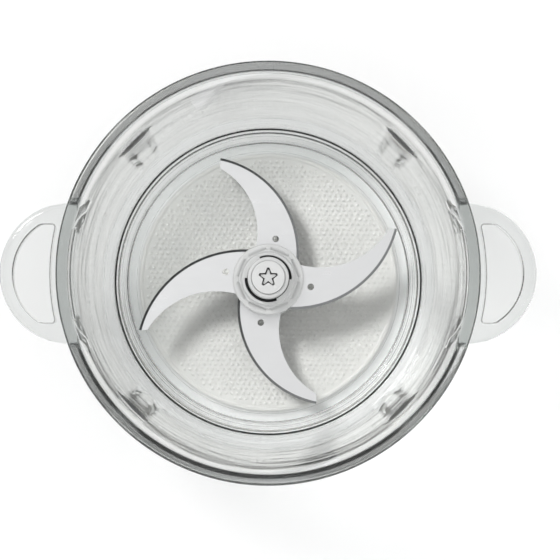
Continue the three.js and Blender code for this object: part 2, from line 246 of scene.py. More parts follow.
def rounded(*corners, segments=5):
    """Points of an outline whose corners (x, y, radius) are replaced by arcs."""
    points = []
    for i, (x, y, radius) in enumerate(corners):
        here = Vector((x, y))
        if not radius or i in (0, len(corners) - 1):
            points.append(here)
            continue
        into = (Vector(corners[i - 1][:2]) - here).normalized()
        away = (Vector(corners[i + 1][:2]) - here).normalized()
        half = into.angle(away) / 2
        centre = here + (into + away).normalized() * radius / math.sin(half)
        first = here + into * radius / math.tan(half) - centre
        turn = math.copysign(math.pi - 2 * half, into.y * away.x - into.x * away.y)
        for k in range(segments + 1):
            cos, sin = math.cos(turn * k / segments), math.sin(turn * k / segments)
            points.append(centre + Vector((first.x * cos - first.y * sin, first.x * sin + first.y * cos)))
    return points


def draw(name, points, upright, closed=True):
    """Draws a line of edges vertex by vertex, upright in XZ or flat in XY, and stays in edit mode."""
    bpy.ops.object.select_all(action="DESELECT")
    bpy.ops.mesh.primitive_plane_add(size=MM)
    piece = bpy.context.object
    piece.name = name
    bpy.ops.object.mode_set(mode="EDIT")
    bpy.ops.mesh.select_mode(type="VERT")
    bpy.ops.mesh.select_all(action="SELECT")
    bpy.ops.mesh.merge(type="CENTER")
    here = Vector((0, 0))
    for i, point in enumerate(points):
        x, y = (point - here) * MM
        step = (x, 0, y) if upright else (x, y, 0)
        if i == 0:
            bpy.ops.transform.translate(value=step)
        else:
            bpy.ops.mesh.extrude_region_move(TRANSFORM_OT_translate={"value": step})
        here = point
    if closed:
        pick(piece, "vertices", lambda v: v.index in (0, len(points) - 1))
        bpy.ops.mesh.edge_face_add()
    bpy.ops.mesh.select_all(action="SELECT")
    return piece


def pick(piece, kind, test):
    """Selects the vertices, edges or polygons of a piece that pass a test, and goes to edit mode."""
    bpy.ops.object.mode_set(mode="EDIT")
    bpy.ops.mesh.select_mode(type={"vertices": "VERT", "edges": "EDGE", "polygons": "FACE"}[kind])
    bpy.ops.mesh.select_all(action="DESELECT")
    bpy.ops.object.mode_set(mode="OBJECT")
    for part in getattr(piece.data, kind):
        part.select = bool(test(part))
    bpy.ops.object.mode_set(mode="EDIT")


def heights(piece, edge):
    """Heights of an edge's two ends, in metres."""
    return [piece.data.vertices[i].co.z for i in edge.vertices]


def close_up(piece, smooth=35):
    """Merges doubles, turns the faces outwards and shades the piece."""
    bpy.ops.object.mode_set(mode="EDIT")
    bpy.ops.mesh.select_all(action="SELECT")
    bpy.ops.mesh.remove_doubles(threshold=2e-6)
    bpy.ops.mesh.normals_make_consistent(inside=False)
    bpy.ops.object.mode_set(mode="OBJECT")
    bpy.ops.object.shade_smooth_by_angle(angle=math.radians(smooth))
    return piece


def turned_piece(name, corners, steps=96, closed=True):
    """Spins a section, given as corners (radius, height, rounding) in mm, about the bowl's axis."""
    piece = draw(name, rounded(*corners, segments=4), upright=True, closed=closed)
    bpy.ops.mesh.spin(steps=steps, angle=2 * math.pi, center=(0, 0, 0), axis=(0, 0, 1))
    return close_up(piece)


def plate(name, points, low, high):
    """Fills a flat outline and draws it up from one height to another, both in mm."""
    piece = draw(name, points, upright=False)
    bpy.ops.mesh.edge_face_add()
    bpy.ops.transform.translate(value=(0, 0, low * MM))
    bpy.ops.mesh.extrude_region_move(TRANSFORM_OT_translate={"value": (0, 0, (high - low) * MM)})
    return close_up(piece)


def use(piece):
    """Makes the piece the one that the next operator works on."""
    bpy.ops.object.select_all(action="DESELECT")
    piece.select_set(True)
    bpy.context.view_layer.objects.active = piece


def combine(piece, other, operation):
    """Joins other to the piece, or cuts it away, and uses it up."""
    use(piece)
    modifier = piece.modifiers.new("combine", "BOOLEAN")
    modifier.object = other
    modifier.operation = operation
    modifier.solver = "MANIFOLD"
    bpy.ops.object.modifier_apply(modifier=modifier.name)
    bpy.data.objects.remove(other)


def flatten_shading(piece, angle=35):
    """Smooth shading that follows the large faces, so that flats stay flat up to their edges."""
    use(piece)
    bpy.ops.object.shade_smooth_by_angle(angle=math.radians(angle))
    modifier = piece.modifiers.new("flats", "WEIGHTED_NORMAL")
    modifier.keep_sharp = True
    bpy.ops.object.modifier_apply(modifier=modifier.name)


def bevel(piece, width, segments=3, angle=40):
    """Rounds every edge sharper than the angle."""
    use(piece)
    modifier = piece.modifiers.new("bevel", "BEVEL")
    modifier.width = width * MM
    modifier.segments = segments
    modifier.limit_method = "ANGLE"
    modifier.angle_limit = math.radians(angle)
    bpy.ops.object.modifier_apply(modifier=modifier.name)
    flatten_shading(piece)


def finish_piece(piece, node, body, material):
    """Gives the piece its material and lets it stand in for a node of the CAD."""
    piece.data.materials.clear()
    piece.data.materials.append(material)
    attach(piece, body)
    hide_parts(node)


def bowl_section():
    """From the pad's recess over the foot, up the outside, over the rim and down to the boss."""
    foot = rounded(
        (61.2, 3.4, 0), (61.2, 1.0, 0.4), (65.0, 1.0, 0), (65.4, 1.6, 0), (65.8, 1.0, 0), (66.2, 1.0, 0),
        (66.9, 1.5, 0), (66.9, 2.2, 0), (67.5, 2.0, 0), (68.2, 2.5, 0), (68.2, 3.2, 0), (68.8, 3.0, 0),
        (69.6, 3.6, 0.6), (73, 9.5, 6), (75.6, 21, 0),
    )
    outside = bend((75.6, 21), (82.4, 60), (86.6, 95), 16)[1:]
    rim = rounded(
        (86.6, 95, 0), (87.1, 99.4, 4), (90, 104, 3), (90, 112, 1.5), (84.8, 112, 1.0), (83.6, 100, 0)
    )[1:]
    inside = bend((83.6, 100), (78.6, 62), (71.5, 19), 76)[1:]
    floor = rounded(
        (71.5, 19, 0), (70.9, 15.4, 0.7), (70.0, 14.8, 0.6), (69.5, 12.6, 0.7), (68.5, 12.0, 0.6),
        (67.8, 10.5, 0.7), (66.7, 10.1, 0.6), (65.8, 9, 0.7), (12.2, 9, 2), (10.6, 13.4, 1),
        (10, 15.5, 0.8), (3.6, 15.5, 0.2), (3.6, 10.7, 0.2), (8, 10.7, 0.5), (8, 3.4, 0.4), (61.2, 3.4, 0),
    )[1:-1]
    return foot + outside + rim + inside + floor


def rib_rise(across, height):
    """How far a point of the wall is drawn on to the rib's face, from 0 outside it to 1 on the face."""
    share = (height - RIB_FOOT) / (RIB_TOP - RIB_FOOT)
    half = RIB_FOOT_HALF + (RIB_TOP_HALF - RIB_FOOT_HALF) * share
    side = min(max((half - abs(across)) / RIB_FLANK, 0), 1)
    shoulder = min(max((RIB_TOP - height) / RIB_SHOULDER, 0), 1)
    return side * side * (3 - 2 * side) * shoulder * shoulder * (3 - 2 * shoulder)


bowl_glass = draw("bowl_glass", bowl_section(), upright=True)
bpy.ops.transform.rotate(
    value=-math.radians(RIB_ANGLES[0] - RIB_SECTOR / 2), orient_axis="Z", center_override=(0, 0, 0)
)
for _ in RIB_ANGLES:
    for steps, angle in ((FINE_STEPS, RIB_SECTOR), (PLAIN_STEPS, 90 - RIB_SECTOR)):
        bpy.ops.mesh.spin(steps=steps, angle=math.radians(angle), center=(0, 0, 0), axis=(0, 0, 1))
close_up(bowl_glass, 50)

# The ribs: the wall's inner points are drawn on to each rib's face.
WALL_MIDDLE = 73.5 * MM  # a cone between the wall's two faces, at the height where the wall begins
WALL_FOOT = 19 * MM
WALL_FLARE = 0.15
BOSS_CLEAR = 70 * MM

for vertex in bowl_glass.data.vertices:
    x, y, z = vertex.co
    inner_face = BOSS_CLEAR < math.hypot(x, y) < WALL_MIDDLE + (z - WALL_FOOT) * WALL_FLARE
    if not (inner_face and RIB_FOOT < z < RIB_TOP):
        continue
    for degrees in RIB_ANGLES:
        out = Vector((math.cos(math.radians(degrees)), math.sin(math.radians(degrees))))
        across = x * out.y - y * out.x
        reach = x * out.x + y * out.y
        if reach < 0 or abs(across) > RIB_TOP_HALF:
            continue
        face = RIB_FACE_FOOT + (z - RIB_FOOT) * (RIB_FACE_TOP - RIB_FACE_FOOT) / (RIB_TOP - RIB_FOOT)
        shift = max(reach - face, 0) * rib_rise(across, z)
        vertex.co.x -= out.x * shift
        vertex.co.y -= out.y * shift


def ear_outline():
    """A D whose root follows the wall and flares out of it on a small fillet."""
    wall, fillet = WALL_BY_EAR_R / MM, EAR_FILLET / MM
    centre, radius, root = EAR_CENTRE / MM, EAR_R / MM, EAR_ROOT_R / MM
    x = ((wall + fillet) ** 2 - (radius + fillet) ** 2 + centre ** 2) / (2 * centre)
    y = math.sqrt((wall + fillet) ** 2 - x ** 2)
    side = math.degrees(math.atan2(y, x))
    lean = math.degrees(math.atan2(y, x - centre))
    lower = arc(x, -y, fillet, 180 - side, 180 - lean, 6)
    upper = arc(x, y, fillet, 180 + lean, 180 + side, 6)
    bow = arc(centre, 0, radius, -lean, lean, 64)[1:-1]
    return arc(0, 0, root, side, -side, 20) + lower + bow + upper


def pocket_cutter():
    """The hollow under an ear: a D with rounded corners and a rounded edge at its top."""
    side = math.degrees(math.asin(POCKET_HALF / POCKET_ROOT_R))
    end = math.degrees(math.asin(POCKET_HALF / POCKET_R))
    outline = arc(EAR_CENTRE / MM, 0, POCKET_R / MM, -end, end, 48)
    outline += arc(0, 0, POCKET_ROOT_R / MM, side, -side, 20)
    pocket = plate("pocket", outline, EAR_LOW / MM - 1, POCKET_TOP / MM)

    def at_corner(edge):
        low, high = sorted(heights(pocket, edge))
        sides = [abs(pocket.data.vertices[i].co.y) for i in edge.vertices]
        return high - low > MM and any(abs(side - POCKET_HALF) < 0.2 * MM for side in sides)

    pick(pocket, "edges", at_corner)
    bpy.ops.mesh.bevel(offset=POCKET_CORNER, segments=4, affect="EDGES")
    pick(pocket, "edges", lambda edge: min(heights(pocket, edge)) > POCKET_TOP - 0.01 * MM)
    bpy.ops.mesh.bevel(offset=POCKET_ROUNDING, segments=4, affect="EDGES")
    return close_up(pocket)


def ear():
    """A plate whose free edges are rounded, hollowed from below."""
    piece = plate("ear", ear_outline(), EAR_LOW / MM, EAR_TOP / MM)

    def at_free_edge(edge):
        reach = max(math.hypot(*piece.data.vertices[i].co[:2]) for i in edge.vertices)
        on_top = min(heights(piece, edge)) > EAR_TOP - 0.01 * MM
        below = max(heights(piece, edge)) < EAR_LOW + 0.01 * MM
        return (on_top or below) and reach > WALL_BY_EAR_R + 0.1 * MM

    pick(piece, "edges", at_free_edge)
    bpy.ops.mesh.bevel(offset=EAR_ROUNDING, segments=5, affect="EDGES")
    close_up(piece)
    combine(piece, pocket_cutter(), "DIFFERENCE")
    return piece


for turn in (0, math.pi):
    handle = ear()
    bpy.ops.object.mode_set(mode="EDIT")
    bpy.ops.mesh.select_all(action="SELECT")
    bpy.ops.transform.rotate(value=turn, orient_axis="Z", center_override=(0, 0, 0))
    bpy.ops.object.mode_set(mode="OBJECT")
    combine(bowl_glass, handle, "UNION")
bpy.ops.object.shade_smooth_by_angle(angle=math.radians(50))

CLEAR_GLASS = (0.88, 0.885, 0.88, 1)
RIM_OVER_EAR_PAINTED_SHADE = (0.30, 0.32, 0.31, 1)
POCKET_EDGE_PAINTED_SHADE = (0, 0, 0, 1)
HEEL_IN, HEEL_WIDTH = 64.5 * MM, 7.5 * MM
HEEL_RING_PITCH = 1.8 * MM
HEEL_HEIGHT = 30 * MM
EAR_SPAN = 31.5 * MM
POCKET_LINE_R, POCKET_LINE_WIDTH = 24.8 * MM, 0.7 * MM
POCKET_LINE_TOP, POCKET_LINE_DEPTH = 98.5 * MM, 1.4 * MM

glass, tree, principled = finish_material(
    "bowl_glass", base_color=CLEAR_GLASS, roughness=0.0, transmission_weight=1.0, ior=1.5
)
place = object_place(tree)
across, depth, height = split(tree, place)
away = (across * across + depth * depth) ** 0.5
sideways = (across * across) ** 0.5

# The wall is faintly wavy, and turned rings show at the heel of the foot.
level = add_node(tree, "ShaderNodeMapping", {}, {"Vector": place, "Scale": (0.22, 0.22, 1.0)})
ripple = speckle(tree, level, 60.0, 3.0)
heel = ramp(tree, (away - HEEL_IN) / HEEL_WIDTH, (0.0, 0.0), (0.08, 1.0), (0.92, 1.0), (1.0, 0.0))
low_down = ramp(tree, height / HEEL_HEIGHT, (0.5, 1.0), (0.7, 0.0))
rings = add_node(
    tree, "ShaderNodeMath", {"operation": "SINE"}, {0: away * (2 * math.pi / HEEL_RING_PITCH)}
)
wave = relief(tree, ripple + rings * heel * low_down * 1.5, 0.05, 0.004)

# Over the ears the top of the rim is painted a darker grey: painted shade that matches the grey the rest of
# the rim shows. The pocket's rounded edge bends the light away along part of its bow, and a black line is
# painted there as painted shade.
over_ear = ramp(tree, depth * depth / EAR_SPAN ** 2 * 0.96, (0.955, 1.0), (0.965, 0.0))
rim_top = ramp(tree, height / 0.1124, (0.990, 0.0), (0.993, 1.0))
rim_painted_shade = add_node(
    tree, "ShaderNodeMix", {"data_type": "RGBA"},
    {0: over_ear * rim_top, 6: CLEAR_GLASS, 7: RIM_OVER_EAR_PAINTED_SHADE}, 2
)
from_ear = ((sideways - EAR_CENTRE) ** 2.0 + depth * depth) ** 0.5
# Painted shade: a black line along part of the pocket's bow, on the lamp's side only.
pocket_side = ramp(tree, ((from_ear - POCKET_LINE_R) / POCKET_LINE_WIDTH) ** 2.0, (0.2, 1.0), (1.0, 0.0))
pocket_top = ramp(tree, ((height - POCKET_LINE_TOP) / POCKET_LINE_DEPTH) ** 2.0, (0.3, 1.0), (1.0, 0.0))
lamp_side = ramp(tree, 0.5 - across * depth / 0.0052 + (sideways - 0.1) * 8.0, (0.25, 0.0), (0.6, 1.0))
with_pocket_shade = add_node(
    tree, "ShaderNodeMix", {"data_type": "RGBA"},
    {0: pocket_side * pocket_top * lamp_side, 6: rim_painted_shade, 7: POCKET_EDGE_PAINTED_SHADE}, 2
)

# The rim and the tops of the ribs are a little dull.
lug_line = (across * across - depth * depth) / 0.0015
near_lug = ramp(tree, lug_line ** 2.0, (0.55, 1.0), (1.0, 0.0))
lug_top = ramp(tree, height / 0.0905, (0.930, 0.0), (0.945, 1.0), (0.985, 1.0), (1.0, 0.0))
dull_rim = ramp(tree, height / 0.1122, (0.975, 0.0), (0.985, 1.0))
feed(tree, principled, normal=wave, base_color=with_pocket_shade, roughness=dull_rim * 0.2 + near_lug * lug_top * 0.5)

# Lamp light is let through instead of stopped, so that what stands inside the bowl is lit.
through = add_node(tree, "ShaderNodeBsdfTransparent", {}, {"Color": (0.78, 0.785, 0.785, 1)})
lets_lamp_by = add_node(tree, "ShaderNodeMixShader", {}, {
    "Fac": add_node(tree, "ShaderNodeLightPath", out=1),
    1: Socket(principled.outputs[0]),
    2: through,
})
tree.links.new(lets_lamp_by.output, tree.nodes["Material Output"].inputs["Surface"])
absorb = add_node(
    tree, "ShaderNodeVolumeAbsorption", {}, {"Color": (0.67, 0.70, 0.69, 1), "Density": 19.0}
)
tree.links.new(absorb.output, tree.nodes["Material Output"].inputs["Volume"])
finish_piece(bowl_glass, "bowl", "bowl", glass)


# ---------------------------------------------------------------- non-slip pad
# A disc of pale silicone that sits in the recess under the floor. Both faces carry close-set dots in
# rows that step by half a pitch, so that it grips the worktop and the glass.

PAD_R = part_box("non_slip_pad")[1].x
PAD_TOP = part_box("non_slip_pad")[1].z
DOT_PITCH = 2.6
DOT_R = 0.85
DOT_HEIGHT = 0.35
PAD_BORDER = 3

edge, top = PAD_R / MM, PAD_TOP / MM - DOT_HEIGHT
non_slip_pad = turned_piece(
    "silicone_pad",
    [(0, DOT_HEIGHT, 0), (edge, DOT_HEIGHT, 0.6), (edge, top + 0.3, 0.5), (edge - 1.4, top + 0.3, 0.3),
     (edge - 1.9, top, 0.2), (0, top, 0)],
    steps=160, closed=False,
)


def dot_places():
    """Rows of places in mm, each row half a pitch along, up to a plain border."""
    row_step = DOT_PITCH * math.sqrt(3) / 2
    most = math.ceil(edge / row_step)
    for row in range(-most, most + 1):
        for column in range(-most, most + 1):
            x, y = (column + row % 2 / 2) * DOT_PITCH, row * row_step
            if math.hypot(x, y) < edge - PAD_BORDER:
                yield x, y


bpy.ops.object.select_all(action="DESELECT")
bpy.ops.mesh.primitive_circle_add(vertices=8, radius=DOT_R * MM, fill_type="NGON", location=(0, 0, 0))
dot = bpy.context.object
bpy.ops.object.mode_set(mode="EDIT")
bpy.ops.mesh.select_all(action="SELECT")
bpy.ops.transform.translate(value=(0, 0, (top - 0.05) * MM))
bpy.ops.mesh.extrude_region_move(TRANSFORM_OT_translate={"value": (0, 0, (DOT_HEIGHT * 0.6 + 0.05) * MM)})
bpy.ops.transform.resize(value=(0.86, 0.86, 1))
bpy.ops.mesh.extrude_region_move(TRANSFORM_OT_translate={"value": (0, 0, DOT_HEIGHT * 0.4 * MM)})
bpy.ops.transform.resize(value=(0.5, 0.5, 1))
bpy.ops.mesh.select_all(action="SELECT")
bpy.ops.mesh.normals_make_consistent(inside=False)
bpy.ops.object.mode_set(mode="OBJECT")
bpy.ops.object.shade_smooth_by_angle(angle=math.radians(60))
dots = []
for x, y in dot_places():
    for underside in (False, True):
        copy = bpy.data.objects.new("dot", dot.data.copy())
        bpy.context.scene.collection.objects.link(copy)
        for vertex in copy.data.vertices:
            z = PAD_TOP - vertex.co.z if underside else vertex.co.z
            vertex.co = (vertex.co.x + x * MM, vertex.co.y + y * MM, z)
        if underside:
            copy.data.flip_normals()
        dots.append(copy)
bpy.data.objects.remove(dot)
use(non_slip_pad)
for copy in dots:
    copy.select_set(True)
bpy.ops.object.join()
silicone, tree, principled = finish_material("silicone")
place = object_place(tree)
bloom = speckle(tree, place, 60.0, 4.0)
shade = ramp(tree, bloom, (0.3, (0.88, 0.87, 0.85)), (0.7, (0.94, 0.925, 0.90)))
skin = relief(tree, speckle(tree, place, 2500.0), 0.1, 0.0002)
feed(tree, principled, base_color=shade, normal=skin, roughness=0.42 + bloom * 0.15)
finish_piece(non_slip_pad, "non_slip_pad", "bowl", silicone)


# ---------------------------------------------------------------- spindle pin and what holds it
# Turned stainless steel: a shaft with a domed end, a flange on the boss and a tail that passes through
# the glass. Silicone gaskets seal the hole, and a washer, a spring washer and a thin nut pull it tight.


def steel_finish(name, colour, roughness, grain_scale, stretch, depth=0.12):
    """Steel with fine scratches that run one way, drawn out along the directions in stretch."""
    material, tree, principled = finish_material(name, base_color=(*colour, 1), metallic=1.0)
    place = object_place(tree)
    drawn = add_node(tree, "ShaderNodeMapping", {}, {"Vector": place, "Scale": stretch})
    scratch = speckle(tree, drawn, grain_scale, 3.0)
    cloud = speckle(tree, place, 90.0)
    line = relief(tree, scratch, depth, 0.0001)
    feed(tree, principled, roughness=roughness - 0.08 + scratch * 0.1 + cloud * 0.06, normal=line)
    return material, tree, principled


pin_steel, _, _ = steel_finish("pin_steel", (0.66, 0.67, 0.68), 0.24, 900.0, (0.2, 0.2, 6.0))

spindle = turned_piece(
    "spindle",
    [(0, 3.8, 0), (3, 3.8, 0.5), (3, 16.7, 0.1), (8.5, 16.7, 0.3), (8.5, 18.3, 0.4), (4.6, 18.3, 0.4),
     (4, 19.2, 0.4), (4, 49.6, 2.6), (0, 50, 0)],
    closed=False,
)
finish_piece(spindle, "spindle_pin", "bowl", pin_steel)

clear_rubber, tree, principled = finish_material("clear_rubber", base_color=(0.78, 0.79, 0.78, 1))
cloud = speckle(tree, object_place(tree), 300.0)
feed(tree, principled, roughness=0.4 + cloud * 0.15)
TAIL_HOLE_R = 3.3
for node, outer in (("pin_gasket_upper", 8.5), ("pin_gasket_lower", 7.0)):
    low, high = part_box(node)[0].z / MM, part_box(node)[1].z / MM
    gasket = turned_piece(
        node.replace("pin_", "silicone_"),
        [(TAIL_HOLE_R, low + 0.2, 0), (TAIL_HOLE_R, low, 0.15), (outer, low, 0.3), (outer, high, 0.3),
         (TAIL_HOLE_R, high, 0.15), (TAIL_HOLE_R, high - 0.2, 0)], steps=64,
    )
    finish_piece(gasket, node, "bowl", clear_rubber)

washer = turned_piece(
    "plain_washer",
    [(TAIL_HOLE_R, 8.8, 0), (TAIL_HOLE_R, 8.6, 0.1), (6.6, 8.6, 0.15), (6.6, 9.5, 0.3),
     (TAIL_HOLE_R, 9.5, 0.15), (TAIL_HOLE_R, 9.3, 0)], steps=64,
)
finish_piece(washer, "pin_washer", "bowl", pin_steel)

# The spring washer is cut through at a slant.
spring_washer = turned_piece(
    "spring_washer",
    [(TAIL_HOLE_R, 7.5, 0), (TAIL_HOLE_R, 7.3, 0.1), (5.2, 7.3, 0.2), (5.2, 8.4, 0.2),
     (TAIL_HOLE_R, 8.4, 0.1), (TAIL_HOLE_R, 8.2, 0)], steps=64,
)
bpy.ops.object.select_all(action="DESELECT")
bpy.ops.mesh.primitive_cube_add(
    size=1, location=(5.5 * MM, 0, 7.85 * MM), rotation=(math.radians(35), 0, 0),
    scale=(6 * MM, 0.8 * MM, 6 * MM),
)
combine(spring_washer, bpy.context.object, "DIFFERENCE")
finish_piece(spring_washer, "pin_lock_washer", "bowl", pin_steel)

# The nut is a hexagon whose corners are turned off at a slope.
NUT_FLATS = 10
thin_nut = plate("thin_nut", arc(0, 0, NUT_FLATS / math.sqrt(3), 0, 300, 5), 4.2, 7.1)
chamfer = turned_piece(
    "chamfer",
    [(3.2, 4.1, 0), (5.0, 4.1, 0), (6.0, 4.75, 0), (6.0, 6.55, 0), (5.0, 7.2, 0), (3.2, 7.2, 0)], steps=64,
)
combine(thin_nut, chamfer, "INTERSECT")
bpy.ops.object.shade_smooth_by_angle(angle=math.radians(35))
finish_piece(thin_nut, "pin_nut", "bowl", pin_steel)


# ---------------------------------------------------------------- blades
# Two stampings of stainless strip, one above the other and a quarter turn apart. Each has a round eye
# and two swept wings with a ground leading edge, a blunt tip and a small locating hole by the root.

WING_STEPS = 40
GROUND_WIDTH = 1.15
EDGE_LAND = 0.65
LEADING_ROOT = 4  # how far from the axis each side of a wing starts, hidden in the eye
TRAILING_ROOT = 12
EYE_R = 15.2
LOCATING_HOLE = (19.5, -10)  # distance from the axis, and degrees from the root
LOCATING_HOLE_R = 1.5
SCREW_PLACES = [(11.7, angle) for angle in (45, 135, 225, 315)]
SCREW_HOLE_R = 1.6
COLUMN_HOLE_R = 9.5
WINGS = {
    "upper_blade": {"convex": (11.1, 35.3, 48.9), "concave": (23.5, 41.8, 36.4), "tip": 22.8, "turn": 0},
    "lower_blade": {"convex": (12.6, 30.6, 44.7), "concave": (22.5, 38.2, 33.3), "tip": 21.9, "turn": 90},
}


def rod(radius, low, high, at=(0, 0), vertices=32):
    """A plain round cutter that stands on a place given as distance and angle, sizes in mm."""
    x, y = at[0] * math.cos(math.radians(at[1])), at[0] * math.sin(math.radians(at[1]))
    bpy.ops.object.select_all(action="DESELECT")
    bpy.ops.mesh.primitive_cylinder_add(
        vertices=vertices, radius=radius * MM, depth=(high - low) * MM,
        location=(x * MM, y * MM, (low + high) / 2 * MM),
    )
    bpy.ops.object.transform_apply(location=True)
    return bpy.context.object


def drill_screw_holes(piece, low, high):
    """Cuts the four screw holes between two heights in mm."""
    for spot in SCREW_PLACES:
        combine(piece, rod(SCREW_HOLE_R, low, high, spot, 24), "DIFFERENCE")


def wing(convex, concave, tip, low, high, turn):
    """One wing: the outline is drawn up in two steps, and the upper one is pulled in along the edge."""
    def angle_at(x, y, radius, height):
        return math.degrees(math.asin((height - y) / radius))

    def root_angle(x, y, radius, along):
        return -math.degrees(math.acos((along - x) / radius))

    leading = arc(*convex, root_angle(*convex, LEADING_ROOT), angle_at(*convex, tip), WING_STEPS)
    trailing = arc(*concave, angle_at(*concave, tip), root_angle(*concave, TRAILING_ROOT), WING_STEPS)
    piece = draw("wing", leading + trailing, upright=False)
    bpy.ops.mesh.edge_face_add()
    bpy.ops.transform.translate(value=(0, 0, low * MM))
    bpy.ops.mesh.extrude_region_move(TRANSFORM_OT_translate={"value": (0, 0, EDGE_LAND * MM)})
    bpy.ops.mesh.extrude_region_move(TRANSFORM_OT_translate={"value": (0, 0, (high - low - EDGE_LAND) * MM)})
    x, y, radius = convex

    def on_leading_edge(vertex):
        away = math.hypot(vertex.co.x / MM - x, vertex.co.y / MM - y)
        return vertex.co.z > (high - 0.01) * MM and abs(away - radius) < 0.02

    pick(piece, "vertices", on_leading_edge)
    share = (radius - GROUND_WIDTH) / radius
    bpy.ops.transform.resize(value=(share, share, 1), center_override=(x * MM, y * MM, high * MM))
    bpy.ops.mesh.select_all(action="SELECT")
    bpy.ops.transform.rotate(value=-math.radians(turn), orient_axis="Z", center_override=(0, 0, 0))
    return close_up(piece)


STAMPED_FACE = (0.71, 0.715, 0.72)
GROUND_EDGE_PAINTED_SHADE = (0.30, 0.305, 0.31)
blade_steel, tree, principled = steel_finish(
    "blade_steel", STAMPED_FACE, 0.25, 900.0, (0.15, 1.0, 1.0), 0.02
)
# Steep faces, the ground edge's slope and the sides, get a dark base colour: painted shade that stands for
# the dark surroundings they reflect.
_, _, facing = split(tree, add_node(tree, "ShaderNodeTexCoord", out=1))
feed(tree, principled, base_color=ramp(tree, facing * facing, (0.70, GROUND_EDGE_PAINTED_SHADE), (0.88, STAMPED_FACE)))

for node, shape in WINGS.items():
    low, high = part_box(node)[0].z / MM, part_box(node)[1].z / MM
    blade = rod(EYE_R, low, high, vertices=96)
    blade.name = node.replace("blade", "wings")
    for turn in (shape["turn"], shape["turn"] + 180):
        combine(blade, wing(shape["convex"], shape["concave"], shape["tip"], low, high, turn), "UNION")
        distance, angle = LOCATING_HOLE
        combine(blade, rod(LOCATING_HOLE_R, low - 1, high + 1, (distance, angle + turn), 40), "DIFFERENCE")
    combine(blade, rod(COLUMN_HOLE_R, low - 1, high + 1, vertices=64), "DIFFERENCE")
    drill_screw_holes(blade, low - 1, high + 1)
    bevel(blade, 0.1, 2, 25)
    finish_piece(blade, node, "blade_rotor", blade_steel)


# ---------------------------------------------------------------- hub
# White moulded plastic. A column carries the stack of skirted base, lower blade, spacer, upper blade
# and collar, which four screws clamp together from below. Two arc-shaped slots in the collar show the
# black seal, and the insert with the star is where the drive enters.

HUB_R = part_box("hub_base")[1].x / MM
COLLAR_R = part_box("hub_collar")[1].x / MM
COLLAR_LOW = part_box("hub_collar")[0].z / MM
COLLAR_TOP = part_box("hub_collar")[1].z / MM
COLUMN_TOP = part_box("hub_core")[1].z / MM

STAR_POINT_R = 4.3
STAR_VALLEY_R = 2.5
POINT_HALF = 7  # half the sweep of a blunt point and of a blunt valley, in degrees
VALLEY_HALF = 4
STAR_GROOVE = 0.85
STAR_GROOVE_LOW = 55.8
STAR_FLOOR = 60
SHADED_R = 5 * MM
SHADED_MIDDLE = 57.7 * MM
SHADED_HALF = 2.1 * MM

hub_plastic, tree, principled = finish_material("hub_plastic")
place = object_place(tree)
flow = speckle(tree, place, 120.0, 3.0)
tone = ramp(tree, flow, (0.3, (0.64, 0.645, 0.64)), (0.7, (0.68, 0.685, 0.68)))
orange_peel = relief(tree, speckle(tree, place, 1800.0), 0.08, 0.0002)

# The star's groove is deep and narrow, and painted shade makes it darker than the face around it.
across, depth, height = split(tree, place)
off_axis = (across * across + depth * depth) / SHADED_R ** 2
off_level = ((height - SHADED_MIDDLE) / SHADED_HALF) ** 8.0
groove_painted_shade = ramp(tree, off_axis + off_level, (0.5, 1.0), (0.9, 0.0))
shaded = add_node(
    tree, "ShaderNodeMix", {"data_type": "RGBA"}, {0: groove_painted_shade, 6: tone, 7: (0.10, 0.10, 0.10, 1)}, 2
)
feed(tree, principled, base_color=shaded, roughness=0.3 + flow * 0.12, normal=orange_peel)

WEB_LOW = 19.3
low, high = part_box("hub_base")[0].z / MM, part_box("hub_base")[1].z / MM
hub_skirt = turned_piece(
    "hub_skirt",
    [(9.5, WEB_LOW + 0.5, 0), (9.5, WEB_LOW, 0.2), (14.3, WEB_LOW, 1.0), (14.3, low, 0.3),
     (HUB_R, low, 0.5), (HUB_R, high, 0.4), (9.5, high, 0.2), (9.5, high - 0.5, 0)],
)
drill_screw_holes(hub_skirt, WEB_LOW - 1, high + 1)
flatten_shading(hub_skirt)
finish_piece(hub_skirt, "hub_base", "blade_rotor", hub_plastic)

low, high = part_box("blade_spacer")[0].z / MM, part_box("blade_spacer")[1].z / MM
spacer = turned_piece(
    "spacer",
    [(9.5, low + 1, 0), (9.5, low, 0.2), (HUB_R, low, 0.4), (HUB_R, high, 0.4), (9.5, high, 0.2),
     (9.5, high - 1, 0)],
)
drill_screw_holes(spacer, low - 1, high + 1)
flatten_shading(spacer)
finish_piece(spacer, "blade_spacer", "blade_rotor", hub_plastic)

column = turned_piece(
    "column",
    [(7.8, 21, 0), (7.8, 19.6, 0.3), (9.2, 19.6, 0.3), (9.2, COLUMN_TOP, 0.9), (7.5, COLUMN_TOP, 0.25),
     (7.5, 54.2, 0.2), (0, 54.2, 0), (0, 52.4, 0), (7.8, 52.4, 0.3), (7.8, 50, 0)],
)
finish_piece(column, "hub_core", "blade_rotor", hub_plastic)

